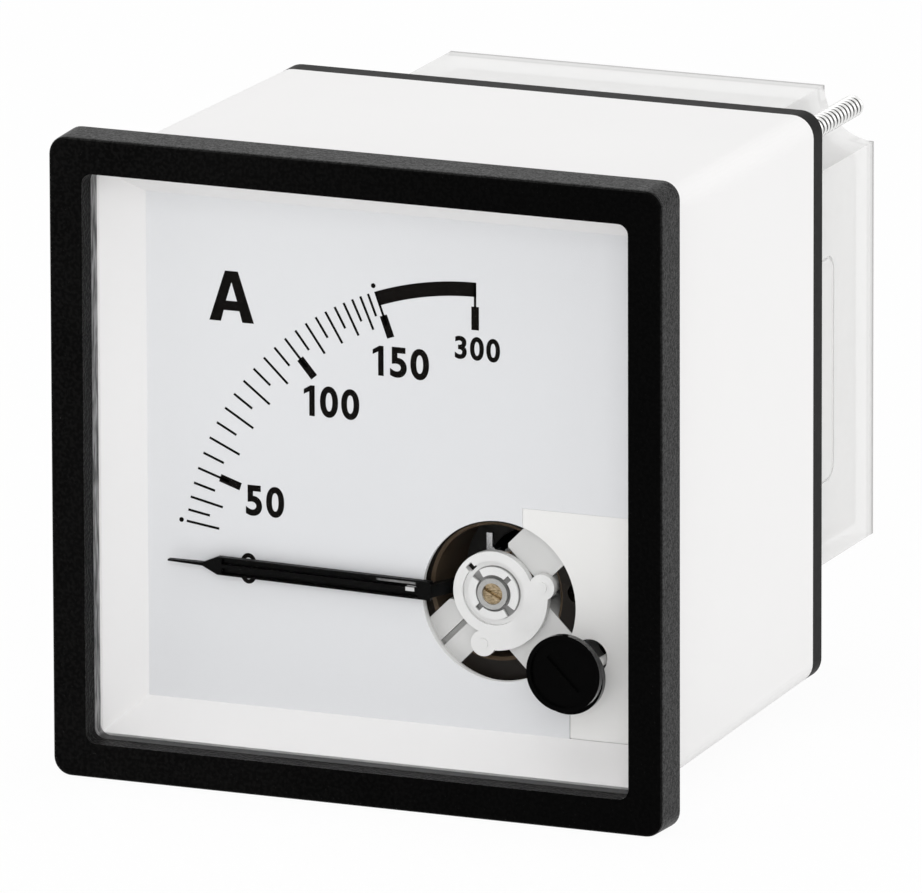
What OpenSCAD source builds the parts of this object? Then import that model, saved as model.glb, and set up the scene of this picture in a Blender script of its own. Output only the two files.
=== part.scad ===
// Analog panel meter with a quadrant scale and a moving-iron movement.
// X runs right and Z up across the front, Y runs back through the panel.
// The origin is the centre of the bezel's back face, which lies on the panel.
// Depths are named from the front to the back, so a bigger Y lies deeper.

/* [Bezel and window] */
// Width and height of the square bezel
bezel_w = 72; // [68:1:96]
// Thickness of the bezel in front of the panel
bezel_t = 5; // [4.7:0.1:7]
// Radius of the bezel's outer corners
bezel_r = 2; // [1:0.5:6]
// How far each side of the bezel leans in from the panel to the front
bezel_lean = 0.1; // [0:0.1:1.2]
// Rounding of the bezel's front edge
bezel_edge = 0.4; // [0.2:0.1:0.8]
// Width of the bezel's strip round the window
strip_w = 4; // [3.5:0.1:5]
// Radius of the opening's corners
opening_r = 1.2; // [0.5:0.1:3]
// Depth of the window behind the bezel's front
window_recess = 2.4; // [1.5:0.1:3]
// Thickness of the window
window_t = 1.6; // [1:0.1:1.8]
// Play round the window
window_play = 0.05; // [0.02:0.01:0.2]

/* [Case] */
// Width of the case's rim outside the opening
rim_w = 0.95; // [0.8:0.05:1.4]
// Depth of the case behind the panel
case_d = 48.5; // [47:0.5:80]
// How far each side of the case leans in over its depth
case_lean = 0.7; // [0:0.1:1.2]
// Thickness of the case's wall
case_wall = 1.6; // [1.2:0.1:2]
// Radius of the case's corners
case_r = 2.5; // [2:0.5:6]
// Depth of the tapered surround between the window and the dial
surround_d = 5.2; // [4:0.1:6]
// How far the surround runs in from the window to the dial
surround_run = 3.3; // [3:0.1:5]
// Flat edge of the surround behind the window
surround_edge = 0.3; // [0.1:0.1:0.6]
// Radius of the screw posts in the case's corners
post_r = 2.8; // [2.4:0.1:3.2]
// Depth of the screw posts
post_d = 12; // [8:1:20]

/* [Dial] */
// Thickness of the dial plate
dial_t = 0.6; // [0.4:0.1:1]
// Width of the dial plate's edge behind the surround
dial_lap = 1; // [0.5:0.1:1.5]
// Radius of the dial's round hole over the movement
hole_r = 9; // [8.5:0.1:10]
// Distance of the hole's centre to the right of the spindle
hole_dx = 1; // [0:0.1:2]
// Distance of the hole's centre below the spindle
hole_dz = 0.6; // [0:0.1:1.5]
// Distance of the dial's cut-out corner to the right of the spindle
corner_dx = 3.8; // [3:0.1:6]
// Distance of the dial's cut-out corner above the spindle
corner_dz = 10.1; // [9:0.1:12]
// Distance of the dial's lower tongue edge to the right of the spindle
tongue_dx = 9.3; // [8:0.1:10]
// Thickness of the carrier behind the dial
carrier_t = 1.2; // [1:0.1:2]
// Distance of the spindle from the visible dial's right edge
spindle_in_x = 16.3; // [15:0.1:18]
// Distance of the spindle from the visible dial's bottom edge
spindle_in_z = 15.2; // [14.5:0.1:18]

/* [Pointer] */
// Gap between the pointer's back and the dial
pointer_gap = 0.7; // [0.4:0.1:1]
// Depth of the pointer's blade
blade_t = 0.7; // [0.4:0.1:0.9]
// Width of the pointer's blade
blade_w = 2.1; // [1.4:0.1:3]
// Thickness of the blade's floor and of its ribs
blade_wall = 0.2; // [0.15:0.05:0.3]
// Gap between the pointer's tip and the edge of the visible dial
tip_gap = 2.9; // [2:0.1:6]
// Length of the thin needle
needle_l = 4.1; // [2:0.1:5]
// Length of the blade's taper down to the needle
taper_l = 1.8; // [1:0.1:5]
// Width of the needle
needle_w = 0.36; // [0.2:0.02:0.6]
// How far the zero mark lies above level, in degrees
zero_angle = 1; // [0:0.5:3]

/* [Movement] */
// Diameter of the spindle
spindle_d = 1; // [0.8:0.1:1.2]
// Radius of the bridge's round part
bridge_r = 4.7; // [4.4:0.1:5]
// Thickness of the bridge
bridge_t = 0.9; // [0.8:0.1:1.2]
// Depth of the bridge's front behind the dial's face
bridge_sink = 0.8; // [0.5:0.1:1]
// Radius at which the bridge's ears are staked
ear_at = 5.85; // [5.7:0.05:6]
// Radius of the bridge's ears
ear_r = 1.45; // [1.3:0.05:1.5]
// Radius of the bridge's bulge between its ears
bulge_r = 6.4; // [6:0.1:6.6]
// Inner radius of the bridge's round trough
trough_r = 2.95; // [2.8:0.05:3.1]
// Width of the bridge's round trough
trough_w = 0.65; // [0.4:0.05:0.8]
// Depth of the trough, of the recess round the bush and of the slots
trough_d = 0.5; // [0.3:0.05:0.6]
// Gap between the bush and the recess round it
recess_gap = 0.3; // [0.2:0.05:0.4]
// Width of the bridge's two narrow slots
slot_narrow = 0.6; // [0.4:0.05:0.8]
// Outer radius of the bearing bushes
bush_r = 1.75; // [1.6:0.05:2]
// Outer radius of the jewel screws
jewel_screw_r = 1.2; // [1:0.05:1.25]
// Outer radius of the jewels
jewel_r = 0.7; // [0.6:0.05:0.8]
// Width of the frame's long bar
bar_w = 5.9; // [5:0.1:6.2]
// Width of the frame's third arm
arm_w = 7; // [6:0.1:7.4]
// Thickness of the frame's bar behind the spindle parts
bar_t = 1.6; // [1.2:0.1:2]
// Radius of the housing's round well
well_r = 7.4; // [7.2:0.1:7.8]
// Chamfer round the well's edge
well_edge = 0.35; // [0.2:0.05:0.4]
// Width of the housing's square front
front_w = 33; // [32:0.5:35]
// Thickness of the housing's front and walls
housing_wall = 1.6; // [1.2:0.1:2]
// Radius of the coil bobbin's flanges
flange_r = 11; // [10.5:0.1:11.5]
// Thickness of the coil bobbin's flanges
flange_t = 1.2; // [0.8:0.1:1.6]
// Length of the coil between the flanges
coil_l = 15.8; // [12:0.2:18]
// Bore radius of the coil bobbin
coil_bore_r = 4.8; // [4.6:0.1:5.2]
// Wall of the coil bobbin's tube
tube_wall = 0.8; // [0.6:0.1:1.2]
// Outer radius of the winding
winding_r = 10; // [8.5:0.1:10.4]
// Depth of the damping chamber
chamber_d = 4.8; // [4:0.1:6]
// Thickness of both iron vanes
vane_t = 0.3; // [0.2:0.05:0.4]
// Angle of the fixed vane's middle above the X axis, in degrees
fixed_vane_angle = 20; // [0:5:40]
// Angle of the moving vane's middle with the pointer at zero
moving_vane_angle = -20; // [-40:5:0]
// Running gap between neighbouring parts along the spindle
run_gap = 0.3; // [0.2:0.05:0.4]

/* [Zero adjuster] */
// Distance of the adjuster to the right of the spindle
adjuster_dx = 11.7; // [11.5:0.1:12.5]
// Distance of the adjuster below the spindle
adjuster_dz = 5.8; // [5.5:0.1:7]
// Radius of the adjuster's disc
adjuster_r = 4.3; // [4:0.05:5]
// Height of the disc's rim in front of the window
adjuster_h = 1; // [0.8:0.1:1.4]
// Width of the disc's raised rim
adjuster_rim = 0.5; // [0.3:0.1:0.8]
// Width of the screwdriver slot
slot_w = 0.65; // [0.5:0.05:1.2]
// Radius of the adjuster's stem through the window
stem_r = 2.3; // [1.8:0.1:2.6]
// Running play round the stem
stem_play = 0.05; // [0.03:0.01:0.1]
// Offset of the eccentric pin from the adjuster's axis
pin_offset = 1.2; // [0.8:0.1:1.4]
// Radius of the eccentric pin
pin_r = 0.5; // [0.4:0.05:0.6]
// Play of the pin in the lever's fork, each side
fork_play = 0.08; // [0.05:0.01:0.1]

/* [Rear plate and studs] */
// Thickness of the rear plate
plate_t = 2.6; // [2:0.1:4]
// Diameter of the mounting studs
stud_d = 2.5; // [2:0.1:3]
// Length of the mounting studs behind the rear plate
stud_l = 19; // [12:0.5:30]
// Distance of the studs from the rear plate's sides
stud_in = 3.65; // [3.2:0.05:4]
// How deep the mounting studs sit in the case
stud_grip = 10; // [6:0.5:11]
// How much less the radius of their moulded-in ends is
stud_neck = 0.4; // [0.3:0.05:0.5]
// Radius of the screws that hold the case and the housing
screw_r = 1.1; // [0.9:0.05:1.4]
// Radius of their heads
screw_head_r = 2.1; // [1.8:0.1:2.4]
// Thickness of their heads
screw_head_t = 1.4; // [1:0.1:1.6]
// Length of their shanks
screw_l = 9; // [6:0.5:10]
// Clearance of studs and screw heads in the rear plate
stud_play = 0.05; // [0.02:0.01:0.15]
// Distance of the case screws from the rear plate's sides
screw_in = 4.65; // [3.8:0.05:5]
// Diameter of the terminal studs
terminal_d = 4; // [3:0.5:5]
// Distance between the terminal studs
terminal_pitch = 26; // [24:0.5:30]
// Distance of the terminals above the straps' bends
terminal_rise = 5.3; // [4.6:0.1:9]
// Length of the terminal studs behind the rear plate
terminal_l = 13; // [12:0.5:16]
// Thickness of the terminal nuts
nut_t = 3.2; // [2.4:0.1:3.4]
// Thickness of the terminal washers and the straps
washer_t = 0.8; // [0.5:0.1:1]

/* [Terminal cover] */
// Distance of the cover from the rear plate's sides
cover_in = 2.35; // [2:0.05:3]
// Depth of the cover behind the rear plate
cover_d = 21.5; // [18:0.5:40]
// Thickness of the cover's walls
cover_wall = 1.5; // [1:0.1:2]
// Radius of the cover's round notches at the studs
notch_r = 5.9; // [5:0.1:7]
// Radius of the cover's round notches at the case screws
big_notch_r = 9; // [7:0.1:10]
// Gap between the cover and the rear plate
cover_gap = 0.2; // [0.1:0.05:0.3]
// Height of the cover's cable knock-outs
knockout_h = 25.6; // [15:0.1:30]
// Height of the knock-outs' middle above the cover's middle
knockout_z = 1.2; // [0:0.1:3]
// Depth of the cover's cable knock-outs
knockout_d = 9.4; // [6:0.1:12]

/* [Hidden] */
$fn = 64;

// Widths that follow from the bezel
opening_w = bezel_w - 2 * strip_w;
case_w = opening_w + 2 * rim_w;
case_rear_w = case_w - 2 * case_lean;
surround_w = opening_w - 2 * surround_edge;
dial_w = surround_w - 2 * surround_run;
plate_w = dial_w + 2 * dial_lap;
cover_w = case_rear_w - 2 * cover_in;

// Depths from the front to the back
window_y = window_recess - bezel_t;
rim_y = window_y + window_t;
dial_y = rim_y + surround_d;
carrier_y = dial_y + dial_t;
housing_y = carrier_y + carrier_t;
bridge_y = dial_y + bridge_sink;
root_y = bridge_y + bridge_t + run_gap;
root_t = 0.6;
hub_end_y = root_y + 2.2;
balance_y = hub_end_y + 0.2;
balance_t = 0.9;
bar_y = balance_y + balance_t + run_gap;
bar_end_y = bar_y + bar_t;
lever_y = bar_end_y + run_gap;
lever_t = 0.4;
spring_y = lever_y + lever_t + 0.6;
spring_h = 0.6;
well_end_y = spring_y + spring_h + 0.5;
coil_y = well_end_y + housing_wall;
chamber_y = coil_y + 2 * flange_t + coil_l;
chamber_end_y = chamber_y + chamber_d + flange_t;
rear_y = case_d;
rear_face_y = rear_y + plate_t;

// The spindle, the dial's hole and the adjuster across the front
spindle_at = [dial_w / 2 - spindle_in_x, spindle_in_z - dial_w / 2];
hole_at = spindle_at + [hole_dx, -hole_dz];
adjuster_at = spindle_at + [adjuster_dx, -adjuster_dz];
adjuster_reach = norm([adjuster_dx, adjuster_dz]);
adjuster_angle = -atan2(adjuster_dz, adjuster_dx);
pin_at = adjuster_at + pin_offset * [cos(adjuster_angle), sin(adjuster_angle)];
pin_room_r = pin_offset + pin_r + run_gap;
pointer_l = spindle_at[0] + dial_w / 2 - tip_gap;
pointer_y = dial_y - pointer_gap - blade_t;
ear_angles = [12, -102];
stud_at = case_rear_w / 2 - stud_in;
screw_at = case_rear_w / 2 - screw_in;

// Pieces that lie along the spindle
front_tip_y = bridge_y + 1.9;
rear_tip_y = chamber_end_y + 1.7;
tip_l = 1;
jewel_t = 0.7;
cup_d = 0.45;

// Places a piece drawn along Z so that it runs back along Y
module run_back(y = 0) {
    translate([0, y, 0]) rotate([-90, 0, 0]) children();
}

// Extrudes an outline drawn in X and Z from depth y0 back to depth y1
module slab(y0, y1) {
    translate([0, y1, 0]) rotate([90, 0, 0]) linear_extrude(y1 - y0) children();
}

module at(p) {
    translate([p[0], 0, p[1]]) children();
}

module at_spindle() {
    at(spindle_at) children();
}

// A round bar or a tube from depth y0 back to depth y1
module rod(y0, y1, r) {
    run_back(y0) cylinder(r = r, h = y1 - y0);
}

module tube(y0, y1, r, bore) {
    difference() {
        rod(y0, y1, r);
        rod(y0 - 1, y1 + 1, bore);
    }
}

module rounded_square(w, r) {
    square([w - 2 * r, w], center = true);
    square([w, w - 2 * r], center = true);
    for (x = [-1, 1], z = [-1, 1])
        translate([x, z] * (w / 2 - r)) circle(r);
}

// A square block with round corners that leans in from one depth to the next
module leaning_block(y0, w0, y1, w1, r, fn = 32) {
    sliver = 0.01;
    hull() {
        slab(y0, y0 + sliver) rounded_square(w0, r, $fn = fn);
        slab(y1 - sliver, y1) rounded_square(w1, r, $fn = fn);
    }
}

// A four-sided funnel with flat sides and sharp mitres
module funnel(y0, w0, y1, w1) {
    outline = [[-w0 / 2, y0], [w0 / 2, y0], [w1 / 2, y1], [-w1 / 2, y1]];
    intersection() {
        linear_extrude(w0, center = true) polygon(outline);
        rotate([0, 90, 0]) linear_extrude(w0, center = true) polygon(outline);
    }
}

// A ring-shaped piece round the spindle, from an outline of radius and depth
module turned(outline) {
    run_back() rotate_extrude() polygon(outline);
}

// ---- Front ----

module front_bezel() {
    steps = [0, 30, 60, 90];
    face_w = bezel_w - 2 * bezel_lean;
    color([0.07, 0.07, 0.07]) difference() {
        union() {
            leaning_block(-bezel_t + bezel_edge, face_w, 0, bezel_w, bezel_r);
            hull() for (a = steps)
                slab(-bezel_t + bezel_edge * (1 - cos(a)), -bezel_t + bezel_edge + 0.01)
                    rounded_square(face_w - 2 * bezel_edge * (1 - sin(a)), bezel_r, $fn = 32);
        }
        slab(-bezel_t - 1, 1) rounded_square(opening_w, opening_r);
        slab(rim_y, 1) rounded_square(case_w + 2 * window_play, case_r);
    }
}

module window_pane() {
    color([0.85, 0.9, 0.92, 0.25]) difference() {
        slab(window_y, rim_y) rounded_square(opening_w - 2 * window_play, opening_r);
        at(adjuster_at) rod(window_y - 1, rim_y + 1, stem_r + stem_play);
    }
}

module case() {
    inner_w = case_w - 2 * case_wall;
    inner_rear_w = case_rear_w - 2 * case_wall;
    lean_at = function (y) case_w - 2 * case_lean * (y - rim_y) / (rear_y - rim_y);
    color([0.93, 0.92, 0.92]) difference() {
        union() {
            difference() {
                leaning_block(rim_y, case_w, rear_y, case_rear_w, case_r);
                leaning_block(dial_y, inner_w, rear_y + 0.1, inner_rear_w, case_r - case_wall);
            }
            for (s = [-1, 1]) intersection() {
                union() {
                    at([s, s] * stud_at) rod(rear_y - post_d, rear_y, post_r);
                    at([s, -s] * screw_at) rod(rear_y - post_d, rear_y, post_r);
                }
                slab(rear_y - post_d, rear_y) square(case_rear_w - 0.4, center = true);
            }
        }
        funnel(rim_y, surround_w, dial_y, dial_w);
        slab(dial_y - 0.1, dial_y + 0.1) square(dial_w, center = true);
        for (s = [-1, 1]) {
            at([s, s] * stud_at) rod(rear_y - stud_grip, rear_y + 1, stud_d / 2 - stud_neck);
            at([s, -s] * screw_at) rod(rear_y - post_d + 1, rear_y + 1, screw_r);
        }
    }
}

// ---- Dial ----

// Part of the visible dial that the carrier's raised corner takes
module corner_area(play = 0) {
    right = dial_w / 2 + dial_lap + 1;
    top = spindle_at[1] + corner_dz - play;
    left = spindle_at[0] + corner_dx + play;
    tongue = spindle_at[0] + tongue_dx + play;
    polygon([[left, top], [right, top], [right, -right], [tongue, -right],
        [tongue, hole_at[1]], [left, hole_at[1]]]);
}

module dial_plate() {
    color([0.86, 0.87, 0.88]) slab(dial_y, carrier_y) difference() {
        rounded_square(plate_w, dial_lap);
        translate(hole_at) circle(hole_r);
        corner_area();
    }
}

module dial_carrier() {
    joint_play = 0.03;
    color([0.91, 0.9, 0.88]) difference() {
        union() {
            slab(carrier_y, housing_y) difference() {
                rounded_square(plate_w, dial_lap);
                translate(hole_at) circle(hole_r + 0.4);
            }
            slab(dial_y + 0.05, housing_y) difference() {
                intersection() {
                    corner_area(joint_play);
                    square(dial_w - 2 * joint_play, center = true);
                }
                translate(hole_at) circle(hole_r);
            }
        }
        at(adjuster_at) rod(dial_y - 1, housing_y + 1, pin_room_r);
        for (p = carrier_screw_at) at(p) small_screw_hole(carrier_y);
    }
}

carrier_screw_r = 0.9;
carrier_screw_at = [for (p = [[-1, 1], [1, 1], [-1, -1]]) spindle_at + p * (front_w / 2 - 2.5)];

// Countersunk hole for a carrier screw whose head is flush at depth y
module small_screw_hole(y) {
    run_back(y - 0.01) cylinder(r1 = 1.7, r2 = carrier_screw_r, h = 0.8);
    rod(y, y + 10, carrier_screw_r);
}

module carrier_screws() {
    color("silver") for (p = carrier_screw_at) at(p) difference() {
        union() {
            run_back(carrier_y) cylinder(r1 = 1.66, r2 = carrier_screw_r - 0.02, h = 0.79);
            rod(carrier_y, housing_y + housing_wall, carrier_screw_r - 0.02);
        }
        slab(carrier_y - 1, carrier_y + 0.4) square([5, 0.5], center = true);
    }
}

// ---- Frame and bridge ----

// One arm of the frame, pointing at an angle above the X axis
module arm(angle, w, r0, r1, y0, y1) {
    rotate([0, -angle, 0]) slab(y0, y1) translate([r0, -w / 2]) square([r1 - r0, w]);
}

arm_end_r = 12.5;
arm_start_r = 4.6;
lever_boss_r = 1.6;
stake_r = 0.6;

module spider_frame() {
    root_edge = 90 - swing_over;
    color([0.9, 0.9, 0.89]) at_spindle() difference() {
        union() {
            arm(45, bar_w, -arm_start_r - 1, arm_start_r + 1, bar_y, bar_end_y);
            arm(-45, arm_w, 0, arm_start_r + 1, bar_y, bar_end_y);
            for (a = [45, 225]) arm(a, bar_w, arm_start_r, arm_end_r, housing_y, bar_end_y);
            arm(-45, arm_w, arm_start_r, arm_end_r, housing_y, bar_end_y);
            for (a = ear_angles) rotate([0, -a, 0]) translate([ear_at, 0, 0]) {
                rod(bridge_y + bridge_t, bar_end_y, 1.2);
                rod(bridge_y - 0.15, bar_end_y, stake_r);
            }
            rod(bar_y, bar_end_y + 2 * run_gap + lever_t, lever_boss_r);
        }
        rod(bar_y - 1, bar_end_y + 2, spindle_d / 2 + run_gap);
        arm(225, 0.65, arm_start_r - 1, 9.3, housing_y - 1, housing_y + 1.2);
        for (a = [root_edge, 180 + swing_over]) arm(a, root_w + 2 * run_gap, arm_start_r - 1,
            crank_start + 0.5 + run_gap, housing_y - 1, root_y + root_t + run_gap);
        at(adjuster_at - spindle_at) rod(housing_y - 1, bar_end_y + 1, pin_room_r);
    }
}

// Outline of the bridge's bulge between its two ears
module bulge() {
    mid = (ear_angles[0] + ear_angles[1]) / 2;
    intersection() {
        circle(bulge_r);
        rotate(mid) polygon([[0, 0], [6, 9.5], [12, 9.5], [12, -9.5], [6, -9.5]]);
    }
}

// Outline of a slot that opens out towards the trough, pointing at an angle
module flared_slot(angle) {
    rotate(angle) polygon([[bush_r, -slot_narrow / 2], [trough_r + 0.1, -slot_narrow],
        [trough_r + 0.1, slot_narrow], [bush_r, slot_narrow / 2]]);
}

module front_bridge() {
    color([0.95, 0.95, 0.95]) at_spindle() difference() {
        slab(bridge_y, bridge_y + bridge_t) {
            circle(bridge_r);
            bulge();
            for (a = ear_angles) rotate(a) translate([ear_at, 0]) circle(ear_r);
        }
        rod(bridge_y - 1, bridge_y + 2, bush_r);
        rod(bridge_y - 1, bridge_y + trough_d, bush_r + recess_gap);
        tube(bridge_y - 1, bridge_y + trough_d, trough_r + trough_w, trough_r);
        for (a = [45, 225]) arm(a, slot_narrow, bush_r, trough_r - 0.25, bridge_y - 1, bridge_y + trough_d);
        slab(bridge_y - 1, bridge_y + trough_d) for (a = [135, -45]) flared_slot(a);
        arm(135, 0.9, trough_r + trough_w - 0.2, bridge_r - 0.55, bridge_y - 1, bridge_y + 2);
        for (a = ear_angles) rotate([0, -a, 0]) translate([ear_at, 0, 0])
            rod(bridge_y - 1, bridge_y + 2, stake_r);
    }
}

module bearing_bush(y0, y1) {
    color([0.7, 0.7, 0.7]) at_spindle() tube(y0, y1, bush_r, jewel_screw_r);
}

// A screw that holds a jewel; it is drawn for the front, the rear one is turned over
module jewel_screw(l) {
    color([0.72, 0.6, 0.35]) difference() {
        rod(0, l, jewel_screw_r);
        rod(l - jewel_t, l + 1, jewel_r);
        slab(-1, 0.5) rotate(-27) square([4, 0.45], center = true);
    }
}

module jewel() {
    color([0.75, 0.2, 0.3]) turned([[0, 0], [jewel_r, 0], [jewel_r, jewel_t], [0.45, jewel_t],
        [0.08, jewel_t - cup_d], [0, jewel_t - cup_d]]);
}

jewel_screw_l = 2.3;
tip_play = 0.05;
front_jewel_y = front_tip_y + cup_d - jewel_t - tip_play;
rear_jewel_y = rear_tip_y - cup_d + jewel_t + tip_play;

module front_bearing_bush() {
    bearing_bush(bridge_y - 0.3, root_y + 1.4);
}

module front_jewel_screw() {
    at_spindle() translate([0, front_jewel_y + jewel_t - jewel_screw_l, 0]) jewel_screw(jewel_screw_l);
}

module front_jewel() {
    at_spindle() translate([0, front_jewel_y, 0]) jewel();
}

module rear_bearing_bush() {
    bearing_bush(chamber_end_y + 0.7, rear_boss_y + 0.1);
}

module rear_jewel_screw() {
    at_spindle() translate([0, rear_jewel_y - jewel_t + jewel_screw_l, 0]) rotate([180, 0, 0])
        jewel_screw(jewel_screw_l);
}

module rear_jewel() {
    at_spindle() translate([0, rear_jewel_y, 0]) rotate([180, 0, 0]) jewel();
}

// ---- Coil ----

shell_r = flange_r + 0.1;
pillar_r = 2.5;
pillar_at = shell_r + housing_wall + 1.4;
pillar_angles = [50, 170, 290];
lead_x = [0.1, -6.4];
lead_r = 0.7;
rear_boss_y = chamber_end_y + 3.4;

module coil_housing() {
    color([0.13, 0.11, 0.1]) at_spindle() difference() {
        union() {
            slab(housing_y, housing_y + housing_wall) rounded_square(front_w, 2);
            rod(housing_y, well_end_y, well_r + housing_wall);
            rod(well_end_y, chamber_end_y, shell_r + housing_wall);
            for (a = pillar_angles) rotate([0, -a, 0]) translate([pillar_at, 0, 0])
                rod(coil_y, rear_y, pillar_r);
            at([9.5, 0.7]) rod(housing_y, well_end_y, 2.3);
        }
        rod(housing_y - 1, coil_y + 1, well_r);
        run_back(housing_y - 0.01) cylinder(r1 = well_r + well_edge, r2 = well_r, h = well_edge);
        rod(coil_y, chamber_end_y + 1, shell_r);
        for (a = [45, 225]) arm(a, bar_w + 0.1, 0, arm_end_r + 0.05, housing_y - 1, bar_end_y);
        arm(-45, arm_w + 0.1, 0, arm_end_r + 0.05, housing_y - 1, bar_end_y);
        arm(adjuster_angle, 3.6, 6, well_r + housing_wall + 3, lever_y - run_gap,
            lever_y + lever_t + run_gap);
        at(adjuster_at - spindle_at) rod(housing_y - 1, bar_end_y, pin_room_r);
        at([9.5, 0.7]) rod(housing_y - 1, housing_y + 4, 1.15);
        for (p = carrier_screw_at) at(p - spindle_at) rod(housing_y - 1, housing_y + 3, carrier_screw_r - 0.02);
        for (a = pillar_angles) rotate([0, -a, 0]) translate([pillar_at, 0, 0])
            rod(rear_y - screw_l, rear_y + 1, screw_r);
        for (x = lead_x) translate([x, coil_y + flange_t + coil_l - 1.2, 0])
            cylinder(r = lead_r + 0.2, h = 20);
    }
}

module coil_bobbin() {
    tube_r = coil_bore_r + tube_wall;
    end = coil_y + 2 * flange_t + coil_l;
    color([0.16, 0.15, 0.14]) at_spindle() turned([
        [coil_bore_r, coil_y], [flange_r, coil_y], [flange_r, coil_y + flange_t],
        [tube_r, coil_y + flange_t], [tube_r, end - flange_t],
        [flange_r, end - flange_t], [flange_r, end], [coil_bore_r, end]]);
}

module coil_winding() {
    tube_r = coil_bore_r + tube_wall;
    color([0.7, 0.4, 0.2]) at_spindle() {
        tube(coil_y + flange_t, coil_y + flange_t + coil_l, winding_r, tube_r);
        for (x = lead_x) let (z = sqrt(pow(winding_r - 0.5, 2) - x * x))
            translate([x, coil_y + flange_t + coil_l - 1.2, z])
                cylinder(r = lead_r, h = strap_z - spindle_at[1] - z);
    }
}

// A curved iron plate round the spindle
module curved_vane(y0, y1, r0, r1, angle, spread) {
    run_back(y0) rotate([0, 0, -angle - spread / 2])
        rotate_extrude(angle = spread) translate([r0, 0]) square([r1 - r0, y1 - y0]);
}

vane_y = coil_y + flange_t + 1.6;
vane_end_y = vane_y + coil_l - 3.2;

module fixed_vane() {
    color([0.6, 0.6, 0.62]) at_spindle()
        curved_vane(vane_y, vane_end_y, coil_bore_r - vane_t, coil_bore_r, fixed_vane_angle, 80);
}

module damping_chamber() {
    wall = 1;
    floor_y = chamber_end_y - flange_t;
    color([0.14, 0.13, 0.12]) at_spindle() turned([
        [flange_r - wall, chamber_y], [flange_r, chamber_y], [flange_r, chamber_end_y],
        [bush_r + 1.35, chamber_end_y], [bush_r + 1.35, rear_boss_y], [bush_r, rear_boss_y],
        [bush_r, chamber_end_y + 0.7], [spindle_d / 2 + run_gap, chamber_end_y + 0.7],
        [spindle_d / 2 + run_gap, floor_y], [flange_r - wall, floor_y]]);
}

// ---- Moving system ----

module blade_outline() {
    shoulder = pointer_l - needle_l - taper_l;
    neck = pointer_l - needle_l;
    polygon([[-crank_end, -blade_w / 2], [-shoulder, -shoulder_w / 2],
        [-neck, -needle_w / 2], [-pointer_l, -needle_w / 4], [-pointer_l, needle_w / 4],
        [-neck, needle_w / 2], [-shoulder, shoulder_w / 2], [-crank_end, blade_w / 2]]);
}

root_w = 1.4;
shoulder_w = 0.96 * blade_w;
swing_over = 4;
crank_start = bridge_r + run_gap;
crank_end = 6.5;
hub_bore = bush_r + run_gap;
hub_r = 3.2;

module pointer() {
    trough_l = pointer_l - needle_l - taper_l - crank_end;
    color([0.06, 0.06, 0.06]) at_spindle() rotate([0, zero_angle, 0]) {
        difference() {
            slab(pointer_y, pointer_y + blade_t) blade_outline();
            for (z = [-1, 1]) translate([-crank_end - trough_l / 2 - 0.5, 0, z * blade_w / 4])
                slab(pointer_y - 1, pointer_y + blade_t - blade_wall)
                    square([trough_l - 2, shoulder_w / 2 - 2 * blade_wall], center = true);
        }
        linear_extrude(root_w, center = true) polygon([
            [-hub_bore - 0.1, root_y], [-hub_bore - 0.1, root_y + root_t],
            [-crank_start - 0.5, root_y + root_t], [-crank_end - 0.6, pointer_y + blade_t],
            [-crank_end - 0.6, pointer_y], [-crank_end + 0.1, pointer_y],
            [-crank_start, root_y]]);
        tube(root_y, hub_end_y, hub_r, hub_bore);
        tube(hub_end_y - 0.6, hub_end_y, hub_r, spindle_d / 2);
    }
}

module spindle() {
    r = spindle_d / 2;
    color("silver") at_spindle() turned([[0, front_tip_y], [0.05, front_tip_y], [r, front_tip_y + tip_l],
        [r, rear_tip_y - tip_l], [0.05, rear_tip_y], [0, rear_tip_y]]);
}

balance_r = 4.3;

module balance_arms() {
    y = balance_y + balance_t / 2;
    color([0.75, 0.75, 0.75]) at_spindle() rotate([0, zero_angle, 0]) difference() {
        union() {
            rod(hub_end_y, bar_y - run_gap, 1);
            for (a = [90, -90]) arm(a, 0.5, 0, balance_r - 0.3, y - 0.15, y + 0.15);
            arm(0, 1.2, 0, 2.2, y - 0.15, y + 0.15);
        }
        rod(hub_end_y - 1, bar_y + 1, spindle_d / 2);
    }
}

module counterweight() {
    color([0.72, 0.6, 0.35]) at_spindle() rotate([0, zero_angle, 0]) difference() {
        curved_vane(balance_y, balance_y + balance_t, 2, balance_r, 0, 120);
        arm(0, 1.2, 0, 2.2, balance_y + balance_t / 2 - 0.15, balance_y + balance_t / 2 + 0.15);
    }
}

module balance_weights() {
    y = balance_y + balance_t / 2;
    color([0.72, 0.6, 0.35]) at_spindle() rotate([0, zero_angle, 0]) for (z = [-1, 1])
        translate([0, 0, z * 3.3]) difference() {
            translate([0, y, -0.4]) cylinder(r = 0.42, h = 0.8);
            slab(y - 0.15, y + 0.15) square([0.5, 2], center = true);
        }
}

module spring_collet() {
    color([0.72, 0.6, 0.35]) at_spindle() tube(spring_y - 0.1, spring_y + spring_h + 0.1, collet_r, spindle_d / 2);
}

collet_r = 0.9;
spring_turns = 4.4;
spring_end_r = 3.3;
spring_t = 0.12;
spring_end_angle = 135;

// A point on the spring's spiral, the given distance off its middle line
function spiral(t, off) =
    let (r = collet_r + spring_t / 2 + (spring_end_r - collet_r) * t + off,
        a = spring_end_angle + 360 * spring_turns * (1 - t))
    [r * cos(a), r * sin(a)];

module hairspring() {
    steps = 110;
    color([0.75, 0.6, 0.3]) at_spindle() slab(spring_y, spring_y + spring_h) polygon(concat(
        [for (i = [0:steps]) spiral(i / steps, -spring_t / 2)],
        [for (i = [steps:-1:0]) spiral(i / steps, spring_t / 2)]));
}

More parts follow.
